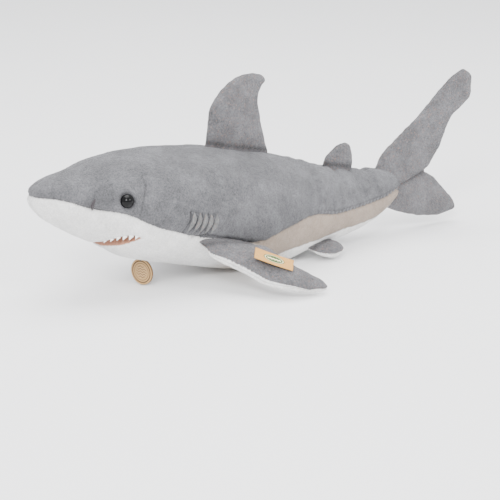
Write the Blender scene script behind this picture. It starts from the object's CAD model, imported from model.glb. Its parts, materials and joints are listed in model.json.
"""Dresses the frame of a stuffed toy shark in sewn plush, felt, thread and printed card."""
import json
import logging
import math
from dataclasses import dataclass
from enum import Enum
from typing import Callable, Sequence

import bmesh
import bpy
import numpy as np
from mathutils import Matrix, Vector, noise


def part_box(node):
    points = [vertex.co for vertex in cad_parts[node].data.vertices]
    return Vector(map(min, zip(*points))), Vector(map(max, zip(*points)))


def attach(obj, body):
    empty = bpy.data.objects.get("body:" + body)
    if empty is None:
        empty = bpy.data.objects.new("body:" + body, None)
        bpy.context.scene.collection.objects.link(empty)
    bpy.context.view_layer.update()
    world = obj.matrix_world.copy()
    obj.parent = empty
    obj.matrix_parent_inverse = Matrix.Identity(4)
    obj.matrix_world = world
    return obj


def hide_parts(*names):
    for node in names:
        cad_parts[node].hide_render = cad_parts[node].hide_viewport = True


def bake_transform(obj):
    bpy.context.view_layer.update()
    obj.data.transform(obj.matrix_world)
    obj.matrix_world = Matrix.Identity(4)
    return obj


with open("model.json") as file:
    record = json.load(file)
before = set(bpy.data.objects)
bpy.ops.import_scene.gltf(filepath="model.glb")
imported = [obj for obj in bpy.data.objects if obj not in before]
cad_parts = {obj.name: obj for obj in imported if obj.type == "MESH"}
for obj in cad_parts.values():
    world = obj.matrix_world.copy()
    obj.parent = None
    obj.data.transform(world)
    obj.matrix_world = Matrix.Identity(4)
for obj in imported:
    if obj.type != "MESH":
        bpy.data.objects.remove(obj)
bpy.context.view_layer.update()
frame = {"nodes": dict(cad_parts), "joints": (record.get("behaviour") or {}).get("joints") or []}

MM = 0.001                  # the scene is in metres; every size below is in millimetres
log = logging.getLogger("shark")

Points = np.ndarray
Row = tuple[float, ...]
Wave = tuple[float, Row]


# ---- shared curves and fields ----
class SmoothTable:
    """A smooth curve through a table whose first column is the key."""

    def __init__(self, rows: Sequence[Row]) -> None:
        """Work out the slope at each row.

        Args:
            rows: the table, in rising order of its first column.
        """
        table = np.array(rows, float)
        self.keys, self.values = table[:, 0], table[:, 1:]
        steps = np.diff(self.values, axis=0) / np.diff(self.keys)[:, None]
        slopes = np.vstack([steps[:1], (steps[:-1] + steps[1:]) / 2, steps[-1:]])
        level = np.vstack([steps[:1] * steps[:1], steps[:-1] * steps[1:], steps[-1:] * steps[-1:]])
        self.slopes = np.where(level > 0, slopes, 0)

    def __call__(self, key: Points) -> Points:
        """Read the curve.

        Args:
            key: where to read it.

        Returns:
            One row of values for each key.
        """
        key = np.clip(np.atleast_1d(key), self.keys[0], self.keys[-1])
        i = np.clip(np.searchsorted(self.keys, key, side="right") - 1, 0, len(self.keys) - 2)
        width = self.keys[i + 1] - self.keys[i]
        t = ((key - self.keys[i]) / width)[:, None]
        width = width[:, None]
        return ((2 * t**3 - 3 * t**2 + 1) * self.values[i] + (t**3 - 2 * t**2 + t) * width * self.slopes[i]
                + (3 * t**2 - 2 * t**3) * self.values[i + 1] + (t**3 - t**2) * width * self.slopes[i + 1])


def hill(distance: Points, width: float) -> Points:
    """A smooth bump: 1 where distance is 0, and nearly 0 past twice the width."""
    return np.exp(-((distance / width) ** 2))


def ease(value: Points, low: float, high: float) -> Points:
    """Go smoothly from 0 at low to 1 at high."""
    t = np.clip((value - low) / (high - low), 0, 1)
    return t * t * (3 - 2 * t)


def dome(value: Points, low: float, high: float) -> Points:
    """A round end: 1 up to low, then a quarter circle down to 0 at high."""
    t = np.clip((value - low) / (high - low), 0, 1)
    return np.sqrt(np.maximum(1 - t * t, 0))


def lumps(points: Points, wavelength: Sequence[float], seed: float) -> Points:
    """Soft random unevenness from -1 to 1.

    Args:
        points: where to read it.
        wavelength: its size along X, Y and Z.
        seed: picks one of many patterns.

    Returns:
        One value for each point.
    """
    scaled = points / np.array(wavelength) + seed * 17.3
    return np.array([noise.noise(Vector(p)) for p in scaled])


def unevenness(points: Points, waves: Sequence[Wave], seed: float) -> Points:
    """The sum of several waves of soft unevenness, each with its own pattern.

    Args:
        points: where to read it.
        waves: each wave's depth, and its size along X, Y and Z.
        seed: picks the first wave's pattern.

    Returns:
        One height for each point.
    """
    return sum(depth * lumps(points, size, seed + i) for i, (depth, size) in enumerate(waves))


def line_distance(flat: Points, line: Sequence[Row]) -> Points:
    """How far points are from a line drawn in the side view.

    Args:
        flat: the points' X and Z.
        line: the line's corners, as X and Z.

    Returns:
        Each point's distance.
    """
    best = np.full(len(flat), np.inf)
    for start, end in zip(line[:-1], line[1:]):
        a, b = np.array(start, float), np.array(end, float)
        run = b - a
        t = np.clip(((flat - a) @ run) / (run @ run), 0, 1)
        away = flat - (a + t[:, None] * run)
        best = np.minimum(best, np.hypot(away[:, 0], away[:, 1]))
    return best


# ---- the body's own measures ----
TORSO_LENGTH, TORSO_HEIGHT, TORSO_WIDTH = 418.0, 111.0, 114.0
NOSE_X = -250.8
NOSE_START = 0.007              # share of the torso's length ahead of the stuffed nose

# along, centre height, half height, half width: percent of torso length, height, height, width
TORSO_SECTIONS: list[Row] = [
    (0.7, 88.3, 1.2, 1.2), (1.2, 87.9, 6.3, 6.1), (2.6, 86.0, 11.9, 11.8), (5.3, 83.5, 18.2, 18.9),
    (9.6, 79.8, 24.9, 27.2), (15.1, 76.7, 33.4, 36.0), (20.8, 71.0, 41.4, 43.4),
    (26.8, 67.4, 44.9, 47.4), (34.4, 62.4, 48.1, 50.0), (43.5, 55.4, 50.9, 50.0),
    (53.3, 48.2, 50.0, 47.4), (59.8, 45.4, 47.2, 44.3), (66.0, 43.0, 41.7, 39.9),
    (71.8, 41.0, 35.6, 35.1), (79.9, 38.6, 29.1, 28.1), (86.4, 39.2, 24.8, 21.9),
    (91.9, 41.9, 20.7, 16.7), (96.4, 45.5, 14.4, 10.5), (99.0, 47.7, 7.7, 5.7),
    (100.0, 48.4, 0.8, 0.7),
]


def spot(along: float, height: float) -> Row:
    """A place in the side view, in millimetres, from percent of the torso's length and height."""
    return (NOSE_X + along * TORSO_LENGTH / 100, height * TORSO_HEIGHT / 100)


def spots(*places: Row) -> list[Row]:
    """Several places in the side view."""
    return [spot(*place) for place in places]


# the seams in the side view
GREY_EDGE = SmoothTable(spots(
    (-3, 90.5), (0, 89.6), (5.3, 87.6), (10.9, 79.8), (17.2, 73.9), (23.7, 61), (29.4, 52.3),
    (33.0, 46.5), (40.8, 39.5), (48.6, 31.5), (53, 36), (57.9, 40.2), (64.5, 44.8), (74.8, 39),
    (82.2, 39.2), (91, 41), (99.4, 46.8), (103, 50)))
BEIGE_EDGE = SmoothTable(spots(
    (0, -6), (30, -6), (44.5, -2), (48, 4), (55.2, 13.5), (62, 17.6), (69.3, 19.4), (77.7, 21.4),
    (84, 21.5), (91.6, 25), (98.8, 41), (103, 49)))
DART = spots((22.4, 100), (22.2, 93), (21.0, 84), (19.9, 71.5))
LIP_CORNER = (20.9, 53.2)
UPPER_LIP = spots(LIP_CORNER, (19.3, 56.0), (17.4, 55.8), (15.6, 53.0), (14.4, 48.8), (12.5, 42.5))
LOWER_LIP = spots(LIP_CORNER, (19.4, 49.8), (17.8, 46.0), (16.2, 42.2), (15.0, 38.5), (13.0, 33.5))
MOUTH_FOLD = spots((20.2, 52.4), (18.6, 50.8), (16.8, 48.6), (15.2, 45.4), (13.8, 41.6))
ROOT_CREASE = spots((32.0, 46.6), (35.0, 47.4), (39.4, 42.6), (44, 36.6), (49.4, 30.4))
GILLS = [[spot(31.1 + i * 1.38, 70.1 - i * 1.2), spot(30.95 + i * 1.38, 62.5 - i * 1.2),
          spot(29.6 + i * 1.38, 53.6 - i * 1.2)] for i in range(5)]
EYE_SPOT = spot(17.6, 84.4)
NOSTRIL = spots((10.8, 78.6), (11.1, 83.2), (12.0, 89.0))
# depth of each wave of unevenness, and its size along X, Y and Z
BODY_WAVES: list[Wave] = [(1.2, (46, 46, 40)), (0.55, (17, 17, 15)), (0.22, (4.2, 4.2, 3.6)),
                          (0.12, (2.2, 2.2, 2.0))]
FIN_WAVES: list[Wave] = [(0.6, (22, 22, 20)), (0.3, (9, 9, 9)), (0.2, (3.6, 3.6, 3.2)), (0.1, (2, 2, 2))]
TAIL_WAVES: list[Wave] = [(0.7, (24, 24, 20)), (0.35, (10, 10, 9)), (0.2, (3.6, 3.6, 3.2)),
                          (0.1, (2, 2, 2))]
# each fold of the flank: X of its foot, X of its top and its depth
FOLDS: list[Row] = [(26, 34, 1.3), (48, 51, 1.1), (70, 78, 1.5), (92, 99, 1.2), (113, 119, 1.3)]
# each tooth's place on the upper lip, and its size as a share of the largest
TEETH: list[tuple[Row, float]] = [((14.8, 51.0), 0.68), ((15.6, 53.3), 0.78), ((16.5, 55.0), 0.86),
                                  ((17.5, 56.1), 0.96), ((18.6, 56.4), 1.0), ((19.7, 55.9), 0.84)]
MOUTH_CEILING = 70.0            # the lips are all below this height
SECTIONS = SmoothTable(TORSO_SECTIONS)


def torso_shape(along: Points, turn: Points) -> Points:
    """The torso's smooth outline.

    Args:
        along: 0 at the nose to 1 at the end of the stalk.
        turn: angle round the section, 0 on the right side and a quarter turn on top.

    Returns:
        Points in millimetres.
    """
    along = NOSE_START + (1 - NOSE_START) * along
    centre, half_height, half_width = (SECTIONS(along * 100) / 100).T
    x = NOSE_X + along * TORSO_LENGTH
    y = half_width * TORSO_WIDTH * np.cos(turn)
    z = centre * TORSO_HEIGHT + half_height * TORSO_HEIGHT * np.sin(turn)
    soft = 2.5                  # the belly flattens softly where it rests
    z = np.where(z < 2 * soft, soft * np.logaddexp(0, z / soft - 0.35), z)
    return np.column_stack([x, y, z])


def side_skin(flat: Row, proud: float = 0.0) -> Vector:
    """The point of the left side's skin seen at a place in the side view.

    Args:
        flat: X and Z of the place.
        proud: how far above the skin.

    Returns:
        The point, in millimetres.
    """
    x, z = flat
    centre, half_height, half_width = (SECTIONS((x - NOSE_X) / TORSO_LENGTH * 100)[0] / 100)
    rise = np.clip((z - centre * TORSO_HEIGHT) / (half_height * TORSO_HEIGHT), -0.995, 0.995)
    y = -half_width * TORSO_WIDTH * math.sqrt(1 - rise**2)
    normal = Vector((0, y / (half_width * TORSO_WIDTH) ** 2, rise / (half_height * TORSO_HEIGHT)))
    return Vector((x, y, z)) + normal.normalized() * proud


# ---- finishes ----
Colour = tuple[int, int, int]


def paint(colour: Colour) -> tuple[float, float, float, float]:
    """A display colour, 0 to 255, as the linear colour that a shader takes."""
    channels = [c / 255 for c in colour]
    linear = [c / 12.92 if c <= 0.04045 else ((c + 0.055) / 1.055) ** 2.4 for c in channels]
    return (*linear, 1.0)


class Graph:
    """Short calls for building one material's nodes."""

    def __init__(self, name: str) -> None:
        """Start a material with one Principled shader."""
        self.material = bpy.data.materials.new(name)
        self.material.use_nodes = True
        self.nodes, self.links = self.material.node_tree.nodes, self.material.node_tree.links
        self.shader = self.nodes["Principled BSDF"]
        self.place = self.nodes.new("ShaderNodeTexCoord").outputs["Object"]

    def feed(self, socket: bpy.types.NodeSocket, value: object) -> None:
        """Link a socket to an output, or set it to a constant."""
        if isinstance(value, bpy.types.NodeSocket):
            self.links.new(value, socket)
        else:
            socket.default_value = value

    def grain(self, size: float, detail: float = 2.0, rough: float = 0.5,
              stretch: Row = (1, 1, 1)) -> bpy.types.NodeSocket:
        """Noise whose features are about size millimetres, stretched along X, Y and Z."""
        mapping = self.nodes.new("ShaderNodeMapping")
        mapping.inputs["Scale"].default_value = [1 / s for s in stretch]
        self.feed(mapping.inputs["Vector"], self.place)
        node = self.nodes.new("ShaderNodeTexNoise")
        self.feed(node.inputs["Vector"], mapping.outputs["Vector"])
        node.inputs["Scale"].default_value = 1 / (size * MM)
        node.inputs["Detail"].default_value = detail
        node.inputs["Roughness"].default_value = rough
        return node.outputs["Fac"]

    def field(self, name: str) -> bpy.types.NodeSocket:
        """A value stored on the piece's own points."""
        node = self.nodes.new("ShaderNodeAttribute")
        node.attribute_name = name
        return node.outputs["Fac"]

    def sum(self, operation: str, a: object, b: object) -> bpy.types.NodeSocket:
        """One step of arithmetic."""
        node = self.nodes.new("ShaderNodeMath")
        node.operation = operation
        self.feed(node.inputs[0], a)
        self.feed(node.inputs[1], b)
        return node.outputs[0]

    def step(self, value: object, low: float, high: float, to_low: float = 0.0,
             to_high: float = 1.0) -> bpy.types.NodeSocket:
        """A smooth step between two limits."""
        node = self.nodes.new("ShaderNodeMapRange")
        node.interpolation_type = "SMOOTHSTEP"
        self.feed(node.inputs["Value"], value)
        for key, number in (("From Min", low), ("From Max", high), ("To Min", to_low), ("To Max", to_high)):
            node.inputs[key].default_value = number
        return node.outputs["Result"]

    def mix(self, share: object, a: object, b: object, blend: str = "MIX") -> bpy.types.NodeSocket:
        """Mix two colours."""
        node = self.nodes.new("ShaderNodeMix")
        node.data_type, node.blend_type = "RGBA", blend
        self.feed(node.inputs[0], share)
        self.feed(node.inputs[6], a)
        self.feed(node.inputs[7], b)
        return node.outputs[2]

    def bump(self, height: object, depth: float, strength: float = 1.0,
             under: object = None) -> bpy.types.NodeSocket:
        """Relief of a depth in millimetres, over another relief if one is given."""
        node = self.nodes.new("ShaderNodeBump")
        node.inputs["Strength"].default_value = strength
        node.inputs["Distance"].default_value = depth * MM
        self.feed(node.inputs["Height"], height)
        if under is not None:
            self.feed(node.inputs["Normal"], under)
        return node.outputs["Normal"]


@dataclass(frozen=True)
class PlushFinish:
    """Short-pile plush in up to three colours that meet at the piece's own seams."""

    name: str
    upper: Colour
    lower: Colour
    middle: Colour
    warm: Colour = (206, 193, 178)
    lining: Colour = (196, 140, 112)
    tuft_shade: float = 0.66
    pile: float = 1.5           # size of the pile's tufts
    patch: float = 22.0         # size of the patches where the pile lies differently

    def make(self) -> bpy.types.Material:
        """Build the material, which reads the fields that every plush piece stores."""
        g = Graph(self.name)
        wobble = g.sum("MULTIPLY", g.sum("SUBTRACT", g.grain(1.6, 3), 0.5), 0.0022)
        above_grey = g.step(g.sum("ADD", g.field("grey_side"), wobble), -0.0004, 0.0004)
        above_beige = g.step(g.sum("ADD", g.field("beige_side"), wobble), -0.0005, 0.0005)
        light = g.mix(g.field("warmth"), paint(self.lower), paint(self.warm))
        beige = g.mix(above_beige, light, g.mix(g.field("beige_fade"), light, paint(self.middle)))
        colour = g.mix(above_grey, beige, paint(self.upper))
        patches = g.step(g.grain(self.patch, 4, 0.6), 0.34, 0.66)
        nap = g.step(g.grain(5.0, 3, 0.65, (1.0, 1.0, 1.3)), 0.30, 0.70)
        tuft = g.step(g.grain(self.pile, 4, 0.75), 0.30, 0.70)
        for share, low, high in ((patches, 0.76, 1.10), (nap, 0.86, 1.08), (tuft, self.tuft_shade, 1.22)):
            tone = g.mix(share, (low, low, low, 1), (high, high, high, 1))
            colour = g.mix(g.step(above_grey, 0, 1, 0.4, 1.0), colour, g.mix(1.0, colour, tone, "MULTIPLY"))
        lips = g.step(g.sum("ADD", g.field("lip_side"), g.sum("MULTIPLY", wobble, 0.4)), 0.0, 0.0006)
        colour = g.mix(lips, colour, paint(self.lining))
        colour = g.mix(g.field("valley"), colour,
                       g.mix(1.0, colour, (0.30, 0.29, 0.29, 1), "MULTIPLY"))
        g.feed(g.shader.inputs["Base Color"], colour)
        g.shader.inputs["Roughness"].default_value = 0.95
        g.shader.inputs["Specular IOR Level"].default_value = 0.15
        g.shader.inputs["Sheen Weight"].default_value = 0.22
        g.shader.inputs["Sheen Roughness"].default_value = 0.45
        g.shader.inputs["Sheen Tint"].default_value = (0.9, 0.9, 0.92, 1)
        deep = g.bump(nap, 0.8, 0.5)
        g.feed(g.shader.inputs["Normal"], g.bump(tuft, 0.8, 0.8, deep))
        return g.material


@dataclass(frozen=True)
class FeltFinish:
    """Pressed felt or embroidery thread: one colour, with fine fibres."""

    name: str
    colour: Colour
    fibre: float = 0.5
    spread: float = 0.14
    sheen: float = 0.2
    stretch: Row = (1, 1, 1)

    def make(self) -> bpy.types.Material:
        """Build the material."""
        g = Graph(self.name)
        fibres = g.step(g.grain(self.fibre, 4, 0.7, self.stretch), 0.3, 0.7)
        clouds = g.grain(6, 3, 0.6)
        low, high = 1 - self.spread, 1 + self.spread
        colour = paint(self.colour)
        for share in (fibres, clouds):
            colour = g.mix(1.0, colour, g.mix(share, (low,) * 3 + (1,), (high,) * 3 + (1,)), "MULTIPLY")
        shade = g.mix(1.0, colour, (0.34, 0.30, 0.27, 1), "MULTIPLY")
        g.feed(g.shader.inputs["Base Color"], g.mix(g.field("valley"), colour, shade))
        g.shader.inputs["Roughness"].default_value = 0.9
        g.shader.inputs["Sheen Weight"].default_value = self.sheen
        g.feed(g.shader.inputs["Normal"], g.bump(fibres, 0.25, 0.7))
        return g.material


@dataclass(frozen=True)
class PlasticFinish:
    """Moulded plastic, glossy or dull."""

    name: str
    colour: Colour
    roughness: float

    def make(self) -> bpy.types.Material:
        """Build the material, with faint handling marks in its gloss."""
        g = Graph(self.name)
        marks = g.step(g.grain(2.5, 4, 0.6), 0.35, 0.75, self.roughness, self.roughness + 0.05)
        g.feed(g.shader.inputs["Roughness"], marks)
        tone = g.mix(g.grain(5, 2), paint(self.colour), paint(tuple(min(c + 6, 255) for c in self.colour)))
        g.feed(g.shader.inputs["Base Color"], tone)
        g.shader.inputs["Specular IOR Level"].default_value = 0.18
        return g.material


class Print(Enum):
    """What is printed on a piece of card."""

    RINGS = "rings"
    OVAL = "oval"


@dataclass(frozen=True)
class CardFinish:
    """Kraft card with a plain printed pattern, laid out by the piece's own fields."""

    name: str
    paper: Colour
    ink: Colour
    light: Colour
    pattern: Print

    def make(self) -> bpy.types.Material:
        """Build the material; the fields count from the middle of the printed face, in metres."""
        g = Graph(self.name)
        u, v = g.field("print_u"), g.field("print_v")
        fibre = g.step(g.grain(0.7, 4, 0.7, (2.5, 1, 1)), 0.3, 0.7)
        fleck = g.step(g.grain(0.35, 2, 0.6), 0.64, 0.72)
        tone = g.mix(fibre, (0.86, 0.86, 0.86, 1), (1.08, 1.08, 1.08, 1))
        paper = g.mix(1.0, paint(self.paper), tone, "MULTIPLY")
        paper = g.mix(g.sum("MULTIPLY", fleck, 0.35), paper, paint((105, 75, 45)))
        inked = self.rings(g, u, v) if self.pattern is Print.RINGS else self.oval(g, u, v)
        worn = g.sum("MULTIPLY", inked[0], g.step(g.grain(0.5, 3, 0.6), 0.22, 0.42, 0.72, 0.96))
        colour = g.mix(worn, paper, g.mix(inked[1], paint(self.ink), paint(self.light)))
        edge = g.mix(1.0, paper, (0.36, 0.30, 0.25, 1), "MULTIPLY")
        g.feed(g.shader.inputs["Base Color"], g.mix(g.field("valley"), colour, edge))
        g.shader.inputs["Roughness"].default_value = 0.72
        g.feed(g.shader.inputs["Normal"], g.bump(fibre, 0.08, 0.6))
        return g.material

    def rings(self, g: Graph, u: object, v: object) -> tuple[object, object]:
        """A rim ring, an inner ring and a dot with waves: the ink's share, and the light marks'."""
        radius = self.reach(g, u, v)
        rim = self.line(g, g.sum("SUBTRACT", radius, 0.0099), 0.0005, 0.0007)
        inner = self.line(g, g.sum("SUBTRACT", radius, 0.0078), 0.0002, 0.0004)
        dot = g.step(radius, 0.0058, 0.0060, 1.0, 0.0)
        wave = g.sum("MULTIPLY", g.sum("SINE", g.sum("MULTIPLY", u, 1500.0), 0.0), 0.0006)
        rows = g.sum("PINGPONG", g.sum("ADD", v, wave), 0.0012)
        marks = g.sum("MULTIPLY", dot, g.step(rows, 0.0004, 0.0006))
        return g.sum("MAXIMUM", rim, g.sum("MAXIMUM", inner, dot)), marks

    def oval(self, g: Graph, u: object, v: object) -> tuple[object, object]:
        """A filled oval with a light line round it and waves: the ink's share, and the light marks'."""
        across = g.sum("MULTIPLY", u, 1 / 0.0098)
        up = g.sum("MULTIPLY", v, 1 / 0.0045)
        radius = self.reach(g, across, up)
        oval = g.step(radius, 0.98, 1.02, 1.0, 0.0)
        ring = self.line(g, g.sum("SUBTRACT", radius, 0.86), 0.03, 0.06)
        wave = g.sum("MULTIPLY", g.sum("SINE", g.sum("MULTIPLY", u, 2200.0), 0.0), 0.0005)
        line = self.line(g, g.sum("ADD", v, wave), 0.0007, 0.0009)
        inside = self.line(g, u, 0.0062, 0.0064)
        return oval, g.sum("MAXIMUM", ring, g.sum("MULTIPLY", line, inside))

    @staticmethod
    def reach(g: Graph, u: object, v: object) -> bpy.types.NodeSocket:
        """The distance from the middle of the print."""
        return g.sum("SQRT", g.sum("ADD", g.sum("MULTIPLY", u, u), g.sum("MULTIPLY", v, v)), 0.0)

    @staticmethod
    def line(g: Graph, away: object, sharp: float, gone: float) -> bpy.types.NodeSocket:
        """A printed line: full where away is under sharp, and gone past gone."""
        return g.step(g.sum("ABSOLUTE", away, 0.0), sharp, gone, 1.0, 0.0)


class Finish(Enum):
    """Every finish of the toy."""

    BODY_PLUSH = PlushFinish("body_plush", (103, 103, 106), (238, 237, 235), (156, 141, 127))
    FIN_PLUSH = PlushFinish("fin_plush", (103, 103, 106), (238, 237, 235), (103, 103, 106))
    TUCK_PLUSH = PlushFinish("tuck_plush", (114, 115, 115), (114, 115, 115), (114, 115, 115), tuft_shade=0.8)
    LINING = FeltFinish("lining_cloth", (216, 164, 134))
    TOOTH = FeltFinish("tooth_cloth", (244, 243, 238), 0.4, 0.06)
    NOSTRIL = FeltFinish("nostril_thread", (44, 38, 42), 0.45, 0.45, 0.4, (4.0, 1.0, 0.7))
    SEAM_THREAD = FeltFinish("seam_thread", (112, 112, 116), 0.3, 0.2, 0.3)
    CORD = FeltFinish("waxed_cord", (38, 32, 30), 0.3, 0.3)
    EYE = PlasticFinish("eye_gloss", (3, 3, 4), 0.05)
    WASHER = PlasticFinish("washer_nylon", (226, 226, 220), 0.45)
    PIN = PlasticFinish("pin_nylon", (52, 44, 38), 0.4)
    TAG = CardFinish("kraft_tag", (186, 150, 100), (74, 48, 28), (196, 160, 112), Print.RINGS)
    LABEL = CardFinish("kraft_card", (196, 146, 78), (44, 84, 42), (232, 220, 178), Print.OVAL)

    def material(self) -> bpy.types.Material:
        """The finish's material, made once."""
        return bpy.data.materials.get(self.value.name) or self.value.make()


# ---- soft skins ----
class Skin:
    """A closed plush skin being shaped: its points are in millimetres until it is finished."""

    def __init__(self, name: str, rings: int, sides: int, shape: Callable[[Points, Points], Points]) -> None:
        """Shape a ball into the piece's outline.

        Args:
            name: the piece's name.
            rings: rings of the ball from pole to pole.
            sides: faces round each ring.
            shape: gives the outline from the place along and the turn round.
        """
        self.name = name
        self.mesh = bmesh.new()
        bmesh.ops.create_uvsphere(self.mesh, u_segments=sides, v_segments=rings, radius=1.0)
        unit = self.points()
        self.along = np.arccos(np.clip(-unit[:, 2], -1, 1)) / math.pi
        self.turn = np.arctan2(unit[:, 1], unit[:, 0])
        self.put(shape(self.along, self.turn))
        if self.mesh.calc_volume(signed=True) < 0:
            bmesh.ops.reverse_faces(self.mesh, faces=self.mesh.faces)
        self.fields: dict[str, Points] = {}

    def points(self) -> Points:
        """Every point of the skin."""
        return np.array([v.co for v in self.mesh.verts])

    def put(self, points: Points) -> None:
        """Move every point."""
        for vert, point in zip(self.mesh.verts, points):
            vert.co = point

    def push(self, height: Points) -> None:
        """Move every point along its own normal.

        Args:
            height: how far, outwards where positive.
        """
        self.mesh.normal_update()
        normals = np.array([v.normal for v in self.mesh.verts])
        self.put(self.points() + normals * height[:, None])

    def finish(self, finish: Finish, slot: str) -> bpy.types.Object:
        """Make the object, in metres, with its fields and its finish.

        Args:
            finish: what it is made of.
            slot: the record's material slot.

        Returns:
            The finished object.
        """
        bmesh.ops.scale(self.mesh, vec=(MM,) * 3, verts=self.mesh.verts)
        return solid(self.name, self.mesh, finish, slot, self.fields)


def solid(name: str, mesh: bmesh.types.BMesh, finish: Finish, slot: str,
          fields: dict[str, Points] | None = None) -> bpy.types.Object:
    """Turn a bmesh, in metres, into a smooth-shaded object.

    Args:
        name: the piece's name.
        mesh: its faces, which are freed.
        finish: what it is made of.
        slot: the record's material slot.
        fields: values stored on its points.

    Returns:
        The object.
    """
    data = bpy.data.meshes.new(name)
    mesh.to_mesh(data)
    mesh.free()
    data.shade_smooth()
    for key, values in (fields or {}).items():
        data.attributes.new(key, "FLOAT", "POINT").data.foreach_set("value", values.astype(np.float32))
    data.materials.append(finish.material())
    piece = bpy.data.objects.new(name, data)
    bpy.context.collection.objects.link(piece)
    log.info("%s: %d faces", name, len(data.polygons))
    return piece


@dataclass
class Body:
    """The stuffed torso: one sewn skin with its seams, darts, gills, lips and eye sockets."""

    rings: int = 330
    sides: int = 250
    seam_depth: float = 1.7
    seam_width: float = 2.0
    mouth_depth: float = 10.0

    def build(self) -> None:
        """Make the skin and the mouth's lining."""
        skin = Skin("body_skin", self.rings, self.sides, torso_shape)
        plain = skin.points()
        flat = plain[:, [0, 2]]
        valley, height = self.needlework(plain, flat)
        inside = self.mouth(flat)
        skin.push(height)
        skin.push(-self.mouth_depth * ease(inside, -0.6, 5.0) * (plain[:, 2] < MOUTH_CEILING))
        stations = np.arange(-262, 182.0)
        lean = np.interp(plain[:, 0], stations, np.gradient(GREY_EDGE(stations)[:, 0]))
        skin.fields["grey_side"] = (plain[:, 2] - GREY_EDGE(plain[:, 0])[:, 0]) / np.sqrt(1 + lean**2) * MM
        skin.fields["beige_side"] = (plain[:, 2] - BEIGE_EDGE(plain[:, 0])[:, 0]) * MM
        skin.fields["beige_fade"] = ease(plain[:, 0], -62, -38)
        skin.fields["warmth"] = ease(plain[:, 0], -92, -50) * ease(-plain[:, 0], -2, 26) * 0.85
        skin.fields["lip_side"] = np.where(plain[:, 2] < MOUTH_CEILING, inside, -10) * MM
        skin.fields["valley"] = np.clip(valley + 0.45 * ease(inside, -0.2, 1.6), 0, 1)
        piece = skin.finish(Finish.BODY_PLUSH, "grey_plush")
        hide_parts("back_panel_left", "back_panel_right", "side_panel_left", "side_panel_right",
                    "belly_panel", "body_filling")
        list(Tail.bend())
        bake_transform(piece)
        self.lining()

    def needlework(self, plain: Points, flat: Points) -> tuple[Points, Points]:
        """The seams, folds and unevenness of the skin.

        Args:
            plain: the smooth outline's points.
            flat: their X and Z.

        Returns:
            How dark each point's valley is, and how far it moves outwards.
        """
        x, y, z = plain.T
        valley = np.zeros(len(plain))
        height = unevenness(plain, BODY_WAVES, 1)

        def groove(distance: Points, depth: float, width: float, dark: float,
                   where: Points | float = 1.0) -> None:
            nonlocal valley, height
            pull = 0.72 + 0.5 * lumps(plain, (6, 6, 6), depth + width)
            slopes = hill(distance, width) + 0.35 * hill(distance, width * 3.2)
            height = height - depth * pull * slopes * where
            valley = np.maximum(valley, dark * hill(distance, width * 0.42) * where)

        edge = z - GREY_EDGE(x)[:, 0]
        groove(edge, self.seam_depth, self.seam_width, 0.5)
        pucker = np.sin(x / 1.15 + 2.2 * lumps(plain, (14, 14, 14), 6))
        rear = ease(x, 12, 34) * ease(-x, -150, -128)
        height += 0.5 * pucker * hill(edge, 6.0) * rear
        groove(edge - 3.4, 1.1, 1.3, 0.42, rear)
        groove(z - BEIGE_EDGE(x)[:, 0], 1.1, 1.8, 0.30, ease(x, -30, -8))
        groove(y, 0.8, 1.6, 0.20, (z > 60) * 1.0)
        groove(line_distance(flat, DART), 1.5, 1.8, 0.5)
        for gill in GILLS:
            groove(line_distance(flat, gill), 1.7, 1.1, 0.95)
        groove(line_distance(flat, ROOT_CREASE), 2.6, 3.0, 0.75, (z < 62) * 1.0)
        for foot, top, depth in FOLDS:
            fold = line_distance(flat, [(foot, 50), ((foot + top) / 2 - 3, 64), (top, 92)])
            height -= depth * hill(fold, 4.0) * ease(z, 46, 60)
            height += 0.7 * depth * hill(fold - 7, 4.0) * ease(z, 46, 60)
        seat = np.hypot(flat[:, 0] - EYE_SPOT[0], flat[:, 1] - EYE_SPOT[1])
        height += 1.7 * hill(seat - 8.2, 2.2) - 0.6 * hill(seat, 5.0)
        valley = np.maximum(valley, 0.7 * hill(seat - 6.0, 0.9))
        return valley, height * ease(z, 0.2, 3.0)

    def mouth(self, flat: Points) -> Points:
        """How far points of the side view are inside the lips, negative outside."""
        roof = SmoothTable(sorted(UPPER_LIP))(flat[:, 0])[:, 0]
        floor = SmoothTable(sorted(LOWER_LIP))(flat[:, 0])[:, 0]
        reach = np.minimum(line_distance(flat, UPPER_LIP), line_distance(flat, LOWER_LIP))
        within = (flat[:, 1] < roof) & (flat[:, 1] > floor) & (flat[:, 0] < UPPER_LIP[0][0])
        return np.where(within, reach, -reach)

    def lining(self) -> None:
        """The felt inside the lips: the skin's own surface, set in, with a fold along the jaw."""
        lining = Skin("mouth_lining", self.rings, self.sides, torso_shape)
        flat = lining.points()[:, [0, 2]]
        inside = self.mouth(flat)
        fold = hill(line_distance(flat, MOUTH_FOLD), 1.5)
        lining.push(-self.mouth_depth * 0.86 * ease(inside, -1.6, 4.4) - 1.4 * fold)
        keep = set(np.nonzero((inside > -1.3) & (flat[:, 1] < MOUTH_CEILING))[0].tolist())
        lining.mesh.verts.index_update()
        unused = [v for v in lining.mesh.verts if v.index not in keep]
        shade = np.clip(0.95 * fold + 0.5 * ease(inside, 2, 6), 0, 1)
        bmesh.ops.delete(lining.mesh, geom=unused, context="VERTS")
        lining.fields["valley"] = shade[sorted(keep)]
        piece = lining.finish(Finish.LINING, "lining_felt")
        wall = piece.modifiers.new("thickness", "SOLIDIFY")
        wall.thickness, wall.offset = 0.8 * MM, -1
        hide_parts("mouth_lining_upper", "mouth_lining_lower")
        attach(piece, "body")


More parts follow.
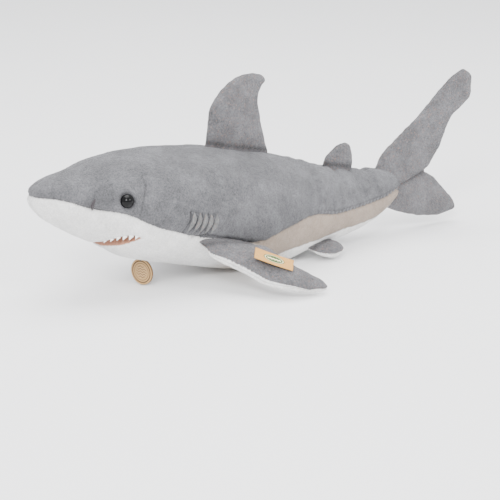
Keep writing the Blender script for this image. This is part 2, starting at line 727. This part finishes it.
# ---- fins ----
@dataclass
class Fin:
    """A sewn, stuffed fin, shaped by rows of span, lead, trail and thickness, each in percent."""

    name: str
    body: str
    nodes: tuple[str, ...]
    rows: list[Row]
    span: float
    chord: float
    thickness: float
    origin: Vector
    along: Vector
    out: Vector
    two_colours: bool = False
    sink: float = 9.0           # how far the root goes inside the body
    round_from: float = 88.0    # percent of the span where the tip starts to close
    twist: float = 0.0          # how far the trailing edge stands above the leading one, halved
    seed: float = 1.0
    rings: int = 120
    sides: int = 120

    def build(self) -> bpy.types.Object:
        """Make the fin, bending at its root seam.

        Returns:
            The fin's object.
        """
        skin = Skin(self.name, self.rings, self.sides, self.shape)
        plain = skin.points()
        edge = 1 - np.abs(np.cos(skin.turn))
        reach = self.reach(skin.along)
        height = self.height(plain, edge, FIN_WAVES, 0.75)
        skin.push(height * ease(reach, -4, 6))
        root = hill(reach - 1.5, 2.6)
        skin.fields["valley"] = np.clip(0.75 * root + 0.3 * hill(edge, 0.008), 0, 1)
        skin.fields["grey_side"] = self.grey_side(skin)
        skin.fields["beige_side"] = np.full(len(plain), -0.01)
        for key in ("beige_fade", "warmth"):
            skin.fields[key] = np.zeros(len(plain))
        piece = skin.finish(Finish.FIN_PLUSH, "grey_plush")
        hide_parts(*self.nodes)
        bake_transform(piece)
        return piece

    def height(self, plain: Points, edge: Points, waves: Sequence[Wave], pucker: float) -> Points:
        """How far the skin stands out: its waves, the puckers beside its hem and the hem's groove.

        Args:
            plain: the smooth outline's points.
            edge: 0 at the hem to 1 in the middle of a face.
            waves: the unevenness of the faces.
            pucker: how deep the puckers are.

        Returns:
            One height for each point.
        """
        puckers = pucker * lumps(plain, (7, 7, 7), self.seed + len(waves)) * hill(edge - 0.10, 0.12)
        return unevenness(plain, waves, self.seed) + puckers - 0.8 * hill(edge, 0.02)

    def reach(self, along: Points) -> Points:
        """How far from the root seam a place along the fin is, in millimetres."""
        return -self.sink + along * (self.span + self.sink)

    def grey_side(self, skin: Skin) -> Points:
        """How far points are above the seam between the grey and the white panel, in metres."""
        if not self.two_colours:
            return np.full(len(skin.turn), 0.01)
        lead = ease(-np.cos(skin.turn), 0.0, 0.9) * ease(self.reach(skin.along), 0, 14)
        return (np.sin(skin.turn) - 0.30 * lead) * self.thickness / 2 * MM

    def shape(self, along: Points, turn: Points) -> Points:
        """The fin's smooth outline.

        Args:
            along: 0 inside the body to 1 at the tip.
            turn: angle round the section, 0 at the trailing edge.

        Returns:
            Points in millimetres.
        """
        reach = self.reach(along)
        share = np.clip(reach / self.span * 100, 0, 100)
        lead, trail, thick = SmoothTable(self.rows)(share).T
        cap = dome(share, self.round_from, 100) * dome(-reach, self.sink - 3, self.sink)
        middle = (lead + trail) / 200 * self.chord
        half = (trail - lead) / 200 * self.chord * cap
        rise = np.sin(turn) * thick / 200 * self.thickness * cap * np.abs(np.sin(turn)) ** 0.12
        curl = self.twist * np.cos(turn) * ease(reach, 0, 10) * (1 - 0.8 * ease(share, 70, 100))
        up = self.along.cross(self.out)
        if up.z < 0 or (abs(up.z) < 0.01 and up.y > 0):
            up = -up
        along_v, out_v, up_v = (np.array(v) for v in (self.along, self.out, up))
        return (np.array(self.origin) + np.outer(middle + half * np.cos(turn), along_v)
                + np.outer(reach, out_v) + np.outer(rise + curl, up_v))


DORSAL_ROWS: list[Row] = [
    (0, 0, 100, 60), (14, -1, 92, 88), (29, -2, 84, 100), (50, -1, 74, 100), (69, 9, 68, 92),
    (83, 20, 70, 82), (92, 31, 76, 72), (100, 42, 78, 60)]
REAR_DORSAL_ROWS: list[Row] = [
    (0, 0, 100, 70), (30, 5, 97, 100), (57, 17, 90, 95), (81, 35, 84, 80), (95, 53, 75, 62),
    (100, 60, 68, 50)]
PECTORAL_ROWS: list[Row] = [
    (0, 5, 99, 60), (15, 20, 102, 88), (33, 38, 104, 100), (54, 54, 110, 100), (72, 65, 120, 92),
    (85, 76, 140, 82), (94, 90, 154, 72), (100, 100, 158, 62)]
PELVIC_ROWS: list[Row] = [
    (0, 4, 98, 70), (45, 16, 96, 100), (75, 28, 94, 95), (95, 40, 92, 85), (100, 46, 90, 75)]
TAIL_ROWS: list[Row] = [
    (0, 60, 69, 40), (2, 45.5, 82.7, 60), (4.4, 30.7, 85, 75), (7.8, 15.8, 84, 88), (12, 2, 80, 95),
    (18.6, -8, 70.6, 100), (26.8, -13, 59, 100), (33.6, -15, 47.5, 100), (39.7, -14, 54, 100),
    (46.4, -9.3, 60.4, 100), (53.2, -1, 66, 100), (60, 13, 70.6, 98), (65.4, 23.2, 73.9, 95),
    (70.2, 32.5, 79, 92), (74.9, 41, 88.3, 90), (79.7, 48.3, 98, 88), (86.4, 59.5, 99.9, 82),
    (92.5, 70.2, 99.7, 74), (96.6, 78, 98, 62), (100, 87, 93, 45)]


def joint(name: str) -> tuple[Vector, Vector]:
    """A joint's place, in millimetres, and its axis."""
    found = next(j for j in frame["joints"] if j["name"] == name)
    return Vector(found["pos_m"]) / MM, Vector(found["axis"]).normalized()


@dataclass
class Tail(Fin):
    """The tail fin: two lobes whose sections are level, wrapped round the end of the stalk."""

    rings: int = 230
    root_swell: float = 5.5

    @staticmethod
    def bend() -> tuple[Vector, Vector]:
        """Where the tail starts to turn and where it has fully turned, in metres."""
        place, _ = joint("tail_bend")
        return (place - Vector((24, 0, 0))) * MM, (place + Vector((26, 0, 0))) * MM

    def build(self) -> bpy.types.Object:
        """Make the tail fin, bending with the stalk.

        Returns:
            The tail fin's object.
        """
        skin = Skin(self.name, self.rings, self.sides, self.shape)
        plain = skin.points()
        edge = 1 - np.abs(np.cos(skin.turn))
        flat = plain[:, [0, 2]]
        crease = hill(line_distance(flat, [(150, 52), (176, 56), (197, 59)]), 2.0)
        skin.push(self.height(plain, edge, TAIL_WAVES, 0.8) - 2.6 * crease)
        skin.fields["valley"] = np.clip(0.6 * crease**2 + 0.3 * hill(edge, 0.008), 0, 1)
        skin.fields["grey_side"] = np.full(len(plain), 0.01)
        for key in ("beige_side", "beige_fade", "warmth"):
            skin.fields[key] = np.zeros(len(plain))
        piece = skin.finish(Finish.FIN_PLUSH, "grey_plush")
        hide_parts(*self.nodes)
        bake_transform(piece)
        return piece

    def shape(self, along: Points, turn: Points) -> Points:
        """The tail's outline, thicker where it wraps the stalk."""
        share = along * 100
        lead, trail, thick = SmoothTable(self.rows)(share).T
        cap = dome(share, 93.5, 100) * dome(-share, -4, 0)
        middle, half = (lead + trail) / 200 * self.chord, (trail - lead) / 200 * self.chord * cap
        x = self.origin.x + middle + half * np.cos(turn)
        z = self.origin.z + along * self.span
        swell = self.root_swell * hill(x - 150, 20) * hill(z - 48, 22)
        y = -np.sin(turn) * (thick / 200 * self.thickness + swell) * cap * np.abs(np.sin(turn)) ** 0.12
        return np.column_stack([x, y, z])


def make_fins() -> None:
    """Build every fin at its own root seam."""
    for name, rows, size, seed in (("dorsal_fin", DORSAL_ROWS, (69.5, 71.0, 16.0), 3.0),
                                   ("rear_dorsal_fin", REAR_DORSAL_ROWS, (23.5, 36.0, 11.0), 9.0)):
        place, along = joint(f"{name}_seam")
        out = Vector((0, 1, 0)).cross(along) * -1
        nodes = tuple(f"{name}_{part}" for part in ("left", "right", "filling"))
        Fin(name, name, nodes, rows, *size, place, along, out, seed=seed).build()
    for kind, rows, size, twist in (("pectoral_fin", PECTORAL_ROWS, (67.0, 69.0, 18.0), 6.0),
                                    ("pelvic_fin", PELVIC_ROWS, (17.5, 36.0, 12.0), 1.0)):
        for side, sign in (("left", -1), ("right", 1)):
            place, along = joint(f"{kind}_{side}_seam")
            up = fin_up(kind, sign)
            out = up.cross(along) * -1 if sign < 0 else up.cross(along)
            Fin(f"{kind}_{side}", f"{kind}_{side}",
                tuple(f"{kind}_{part}_{side}" for part in ("top", "bottom", "filling")), rows, *size, place,
                along, out, True, twist=twist, seed=12.0 + sign).build()
    place, _ = joint("tail_bend")
    Tail("tail_fin", "tail_fin", tuple(f"tail_fin_{lobe}_{part}" for lobe in ("upper", "lower")
                                       for part in ("left", "right", "filling")),
         TAIL_ROWS, 147.5, 107.6, 16.0, Vector((place.x, 0, 8.5)), Vector((1, 0, 0)), Vector((0, 0, 1)),
         seed=31.0).build()


def fin_up(kind: str, sign: int) -> Vector:
    """The direction of a paired fin's upper face, on the left where sign is negative."""
    x, y, z = {"pectoral_fin": (0.24599, 0.27903, 0.92824), "pelvic_fin": (0.04817, 0.32435, 0.94471)}[kind]
    return Vector((x, sign * y, z))


# ---- face ----
@dataclass
class Face:
    """Felt teeth, embroidered nostrils and gill tucks, on both sides."""

    tooth_width: float = 5.0
    tooth_height: float = 6.0
    tooth_seat: float = 1.1     # how far the teeth's row is set into the skin
    felt: float = 1.3

    def build(self) -> None:
        """Make the trim of both sides and dress the eyes."""
        for side, sign in (("left", 1), ("right", -1)):
            self.teeth(f"teeth_{side}", sign)
            self.raised(f"nostril_embroidery_{side}", [NOSTRIL], 2.2, 0.9, Finish.NOSTRIL, "thread", sign)
            ridges = [[(x + 2.9, z) for x, z in gill] for gill in GILLS]
            self.raised(f"gill_tucks_{side}", ridges, 2.3, 1.0, Finish.TUCK_PLUSH, "grey_plush", sign)
        for node in ("eye_left", "eye_right"):
            dress(node, Finish.EYE)
        for node in ("eye_washer_left", "eye_washer_right"):
            dress(node, Finish.WASHER)
        self.stitches()

    def teeth(self, name: str, sign: int) -> None:
        """One side's row of felt triangles, larger towards the back."""
        mesh = bmesh.new()
        for place, size in TEETH:
            top = side_skin(spot(*place), -self.tooth_seat)
            ahead = side_skin(spot(place[0] + 0.6, place[1]), -self.tooth_seat)
            along = (ahead - top).normalized()
            face = Vector((0, 0, 1)).cross(along).normalized()
            made = bmesh.ops.create_cone(mesh, cap_ends=True, segments=3, radius1=1.0, radius2=1.0, depth=1.0)
            verts = made["verts"]
            edges = list({e for v in verts for e in v.link_edges})
            bmesh.ops.rotate(mesh, verts=verts, matrix=Matrix.Rotation(math.pi / 6 * 5, 3, "Z"))
            bmesh.ops.scale(mesh, verts=verts, vec=(self.tooth_width * size * 0.58,
                                                   self.tooth_height * size * 0.66, self.felt))
            bevelled = bmesh.ops.bevel(mesh, geom=edges, offset=0.42, segments=3, profile=0.5,
                                       affect="EDGES", material=-1)
            verts = list({v for f in bevelled["faces"] for v in f.verts} | {v for v in verts if v.is_valid})
            frame_of = Matrix((along, Vector((0, 0, 1)), face)).transposed().to_4x4()
            frame_of.translation = top - Vector((0, 0, self.tooth_height * size * 0.30))
            bmesh.ops.transform(mesh, matrix=frame_of, verts=verts)
        self.place(name, mesh, Finish.TOOTH, "tooth_felt", sign)

    def raised(self, name: str, lines: list[list[Row]], width: float, rise: float, finish: Finish,
               slot: str, sign: int) -> None:
        """Rounded ridges along lines of the side view.

        Args:
            name: the piece's name, which is also its CAD node's.
            lines: each ridge's points in the side view.
            width: half the ridge's width.
            rise: how far it stands above the skin.
            finish: what it is made of.
            slot: the record's material slot.
            sign: 1 for the left side, -1 for the right.
        """
        mesh = bmesh.new()
        for line in lines:
            track = np.array([side_skin(point) for point in resample(line, 25)])
            made = bmesh.ops.create_uvsphere(mesh, u_segments=16, v_segments=28, radius=1.0)["verts"]
            for vert in made:
                share = math.acos(max(-1, min(1, -vert.co.z))) / math.pi * (len(track) - 1)
                i = min(int(share), len(track) - 2)
                here = Vector(track[i] * (1 - share + i) + track[i + 1] * (share - i))
                along = Vector(track[i + 1] - track[i]).normalized()
                outward = Vector((0, here.y, 0)).normalized()
                side = along.cross(outward).normalized()
                vert.co = here + side * vert.co.x * width + outward * vert.co.y * rise
        bmesh.ops.recalc_face_normals(mesh, faces=mesh.faces)
        fields = {"grey_side": np.full(len(mesh.verts), 0.01), "valley": np.zeros(len(mesh.verts))}
        self.place(name, mesh, finish, slot, sign, fields)

    def stitches(self) -> None:
        """Slanted stitches that close the seam along the rear of the left side."""
        mesh = bmesh.new()
        for x in np.arange(30, 146, 5.2):
            low, high = (x, GREY_EDGE(x)[0, 0] + 0.4), (x + 1.8, GREY_EDGE(x + 1.8)[0, 0] + 3.0)
            a, b = side_skin(low, -0.5), side_skin(high, -0.5)
            made = bmesh.ops.create_uvsphere(mesh, u_segments=8, v_segments=8, radius=1.0)["verts"]
            along = (b - a) / 2
            turned = Vector((0, 0, 1)).rotation_difference(along.normalized()).to_matrix().to_4x4()
            bmesh.ops.scale(mesh, verts=made, vec=(0.42, 0.42, along.length))
            bmesh.ops.transform(mesh, matrix=Matrix.Translation((a + b) / 2) @ turned, verts=made)
        self.place("closing_seam_thread", mesh, Finish.SEAM_THREAD, "thread", 1)

    @staticmethod
    def place(name: str, mesh: bmesh.types.BMesh, finish: Finish, slot: str, sign: int,
              fields: dict[str, Points] | None = None) -> None:
        """Place a left-side piece, or its mirror image on the right."""
        bmesh.ops.scale(mesh, vec=(MM, MM * sign, MM), verts=mesh.verts)
        bmesh.ops.recalc_face_normals(mesh, faces=mesh.faces)
        piece = solid(name, mesh, finish, slot, fields)
        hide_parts(name)
        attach(piece, "body")


def resample(line: Sequence[Row], count: int) -> Points:
    """Points evenly spread on a smooth line through a few places."""
    keys = np.linspace(0, 1, len(line))
    curve = SmoothTable([(key, *point) for key, point in zip(keys, line)])
    return curve(np.linspace(0, 1, count))


def dress(node: str, finish: Finish) -> None:
    """Give a CAD node that keeps its shape a better material."""
    materials = frame["nodes"][node].data.materials
    materials.clear()
    materials.append(finish.material())


# ---- tags ----
@dataclass
class HangTag:
    """The round board tag under the chin, on its cord."""

    turn: float = 20.0          # degrees from facing straight ahead
    thickness: float = 2.0

    def build(self) -> None:
        """Make the tag with its hole and printed faces."""
        low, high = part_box("round_tag")
        centre = (low + high) / 2 / MM
        radius = (high.z - low.z) / 2 / MM
        mesh = bmesh.new()
        bmesh.ops.create_cone(mesh, cap_ends=True, segments=96, radius1=radius, radius2=radius,
                              depth=self.thickness)
        rims = [e for e in mesh.edges if e.calc_face_angle(0) > 1]
        bmesh.ops.bevel(mesh, geom=rims, offset=0.35, segments=4, profile=0.5, affect="EDGES", material=-1)
        caps = [f for f in mesh.faces if len(f.verts) > 8]
        bmesh.ops.inset_individual(mesh, faces=caps, thickness=radius * 0.45)
        fields = {"valley": np.array([float(abs(v.co.z) < self.thickness / 2 - 0.01) for v in mesh.verts]),
                  "print_u": np.array([v.co.x for v in mesh.verts]) * MM,
                  "print_v": np.array([v.co.y for v in mesh.verts]) * MM}
        angle = math.radians(self.turn)
        across = Vector((math.sin(angle), -math.cos(angle), 0))
        facing = Vector((-math.cos(angle), -math.sin(angle), 0))
        matrix = Matrix((across, Vector((0, 0, 1)), facing)).transposed().to_4x4()
        matrix.translation = centre
        bmesh.ops.transform(mesh, matrix=Matrix.Scale(MM, 4) @ matrix, verts=mesh.verts)
        bmesh.ops.recalc_face_normals(mesh, faces=mesh.faces)
        piece = solid("round_tag_board", mesh, Finish.TAG, "tag_board", fields)
        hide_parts("round_tag")
        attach(piece, "hang_tag")
        dress("tag_loop", Finish.CORD)


@dataclass
class CardLabel:
    """The folded card pinned on the left pectoral fin."""

    length: float = 36.0
    width: float = 14.0
    paper: float = 0.4
    gap: float = 0.6
    turn: float = -31.0         # degrees from the fin's root seam
    tip: float = 15.0           # degrees that its outer edge hangs below the fin's plane
    curl: float = 0.9
    fold: float = 0.06          # share of each leaf that the rounded fold takes up
    pin_along: float = 0.42     # the pin's place ahead of the card's middle, as a share of its length
    pin_across: float = 0.22    # and as a share of its width
    lift: float = 2.2           # height of the card's middle over the pin's foot

    def build(self) -> None:
        """Make the card as one sheet folded along its long edge."""
        pin, up = joint("card_turn")
        _, seam = joint("pectoral_fin_left_seam")
        along = Matrix.Rotation(math.radians(self.turn), 3, up) @ seam
        up = Matrix.Rotation(math.radians(self.tip), 3, along) @ up
        across = up.cross(along)
        mesh = bmesh.new()
        bmesh.ops.create_grid(mesh, x_segments=36, y_segments=40, size=0.5)
        sheet = np.array([v.co for v in mesh.verts])
        down = (np.abs(sheet[:, 1]) * 2 - 0.5) * self.width
        fields = {"print_u": sheet[:, 0] * self.length * MM,
                  "print_v": np.where(sheet[:, 1] > 0.01, down, 900) * MM}
        radius = self.gap / 2
        for vert in mesh.verts:
            x, fold = vert.co.x * self.length, vert.co.y * 2
            bend = max(0.0, 1 - abs(fold) / self.fold)
            y = -self.width / 2 + abs(fold) * self.width - radius * bend
            leaf = math.copysign(min(1.0, abs(fold) / self.fold) ** 0.5, fold)
            lift = radius * leaf + self.curl * (x / self.length * 2) ** 2 * 0.5
            spread = 0.5 * max(0.0, abs(fold) - 0.2) * (1 if fold > 0 else 0)
            vert.co = Vector((x, y, lift + spread))
        origin = (pin + along * self.pin_along * self.length - across * self.pin_across * self.width
                  + up * self.lift)
        matrix = Matrix((along, across, up)).transposed().to_4x4()
        matrix.translation = origin
        bmesh.ops.transform(mesh, matrix=Matrix.Scale(MM, 4) @ matrix, verts=mesh.verts)
        piece = solid("card_label_folded", mesh, Finish.LABEL, "label_card", fields)
        wall = piece.modifiers.new("paper", "SOLIDIFY")
        wall.thickness, wall.offset = self.paper * MM, 0
        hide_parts("card_label")
        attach(piece, "card")
        dress("card_pin", Finish.PIN)


# ---- studio ----
# each softbox's name, its place and size in metres, and its power in watts
LIGHTS: list[tuple[str, Row, float, float]] = [
    ("softbox_left", (-1.5, -1.5, 1.5), 0.7, 66.0), ("softbox_right", (0.7, -1.9, 1.3), 0.6, 28.0),
    ("overhead", (0.0, 0.2, 2.0), 1.8, 62.0)]


@dataclass
class Studio:
    """A pale floor, soft lights and the camera."""

    azimuth: float = -35.0
    elevation: float = 17.0
    camera_place: Row = (-834.2, -1162.7, 446.0)
    lens: float = 114.26

    def build(self) -> None:
        """Make the floor, the lights and the camera."""
        mesh = bmesh.new()
        bmesh.ops.create_grid(mesh, x_segments=1, y_segments=1, size=6.0)
        data = bpy.data.meshes.new("floor")
        mesh.to_mesh(data)
        mesh.free()
        floor = bpy.data.objects.new("floor", data)
        bpy.context.collection.objects.link(floor)
        g = Graph("floor_paper")
        paper = g.mix(g.grain(400, 2), paint((240, 240, 241)), paint((244, 244, 244)))
        g.feed(g.shader.inputs["Base Color"], paper)
        g.shader.inputs["Roughness"].default_value = 0.9
        data.materials.append(g.material)
        self.world()
        for softbox in LIGHTS:
            self.light(*softbox)
        self.camera()

    @staticmethod
    def world() -> None:
        """An even pale surround."""
        world = bpy.data.worlds.new("surround")
        world.use_nodes = True
        background = world.node_tree.nodes["Background"]
        background.inputs["Color"].default_value = (0.93, 0.94, 0.96, 1)
        background.inputs["Strength"].default_value = 1.65
        bpy.context.scene.world = world

    @staticmethod
    def light(name: str, place: Row, size: float, power: float) -> None:
        """A square softbox aimed at the toy's middle."""
        data = bpy.data.lights.new(name, "AREA")
        data.size, data.energy = size, power
        lamp = bpy.data.objects.new(name, data)
        lamp.location = place
        lamp.rotation_euler = (Vector((0, 0, 0.06)) - Vector(place)).to_track_quat("-Z", "Y").to_euler()
        bpy.context.collection.objects.link(lamp)

    def camera(self) -> None:
        """The camera, level with its horizon."""
        data = bpy.data.cameras.new("camera")
        data.lens, data.sensor_width = self.lens, 36.0
        camera = bpy.data.objects.new("camera", data)
        camera.location = Vector(self.camera_place) * MM
        camera.rotation_euler = (math.radians(90 - self.elevation), 0, math.radians(self.azimuth))
        bpy.context.collection.objects.link(camera)
        bpy.context.scene.camera = camera


def main() -> None:
    """Build the toy from its body outwards, then the studio."""
    logging.basicConfig(level=logging.INFO, format="%(name)s %(message)s")
    Body().build()
    make_fins()
    Face().build()
    HangTag().build()
    CardLabel().build()
    Studio().build()


if __name__ == "__main__":
    main()
